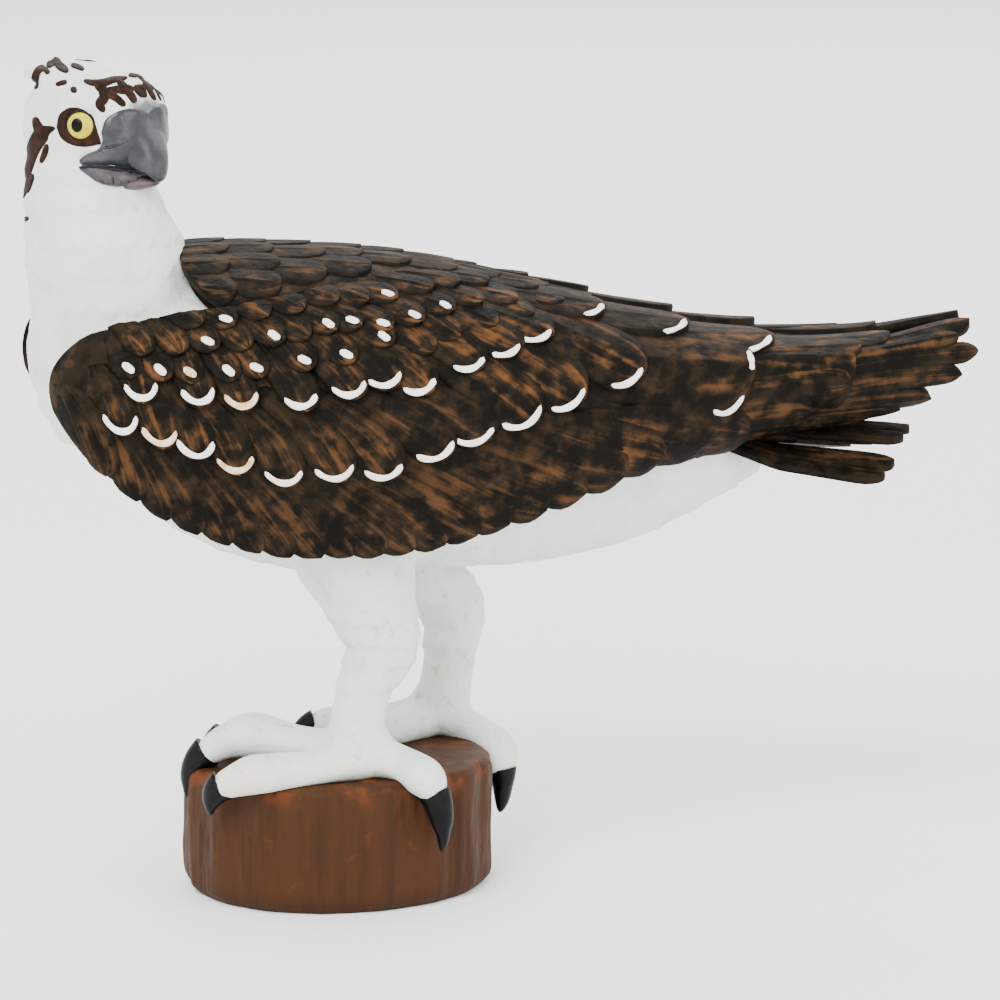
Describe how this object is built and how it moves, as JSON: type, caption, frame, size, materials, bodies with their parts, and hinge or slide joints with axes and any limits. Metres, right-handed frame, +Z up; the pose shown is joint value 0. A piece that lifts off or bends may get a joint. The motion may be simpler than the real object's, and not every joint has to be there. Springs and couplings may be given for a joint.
{
  "type": "toy osprey figure",
  "caption": "Solid moulded toy osprey standing on a round stump, wings folded and head turned back over its left side.",
  "frame": {"origin": "middle of the stump's flat underside", "axes": "+Z up, the bird faces -X with its tail towards +X, left wing on -Y"},
  "size_m": [0.1035, 0.0434, 0.0906],
  "materials": {
    "white_paint": "off-white painted vinyl",
    "dark_feathers": "brown-black paint dry-brushed with rust brown and tipped with white strokes",
    "stump_brown": "wood-brown painted vinyl",
    "beak_grey": "satin grey paint",
    "eye_yellow": "glossy yellow paint with a black pupil",
    "claw_black": "glossy black paint"
  },
  "bodies": {
    "root": {"stump": "stump_brown", "torso": "white_paint", "neck": "white_paint", "head": "white_paint", "leg_left": "white_paint", "leg_right": "white_paint", "foot_left": "white_paint", "foot_right": "white_paint", "wing_left": "dark_feathers", "wing_right": "dark_feathers", "mantle": "dark_feathers", "tail": "dark_feathers", "beak_upper": "beak_grey", "beak_lower": "beak_grey", "eye_left": "eye_yellow", "eye_right": "eye_yellow", "claw_left_1": "claw_black", "claw_left_2": "claw_black", "claw_left_3": "claw_black", "claw_left_4": "claw_black", "claw_right_1": "claw_black", "claw_right_2": "claw_black", "claw_right_3": "claw_black", "claw_right_4": "claw_black"}
  },
  "joints": []
}
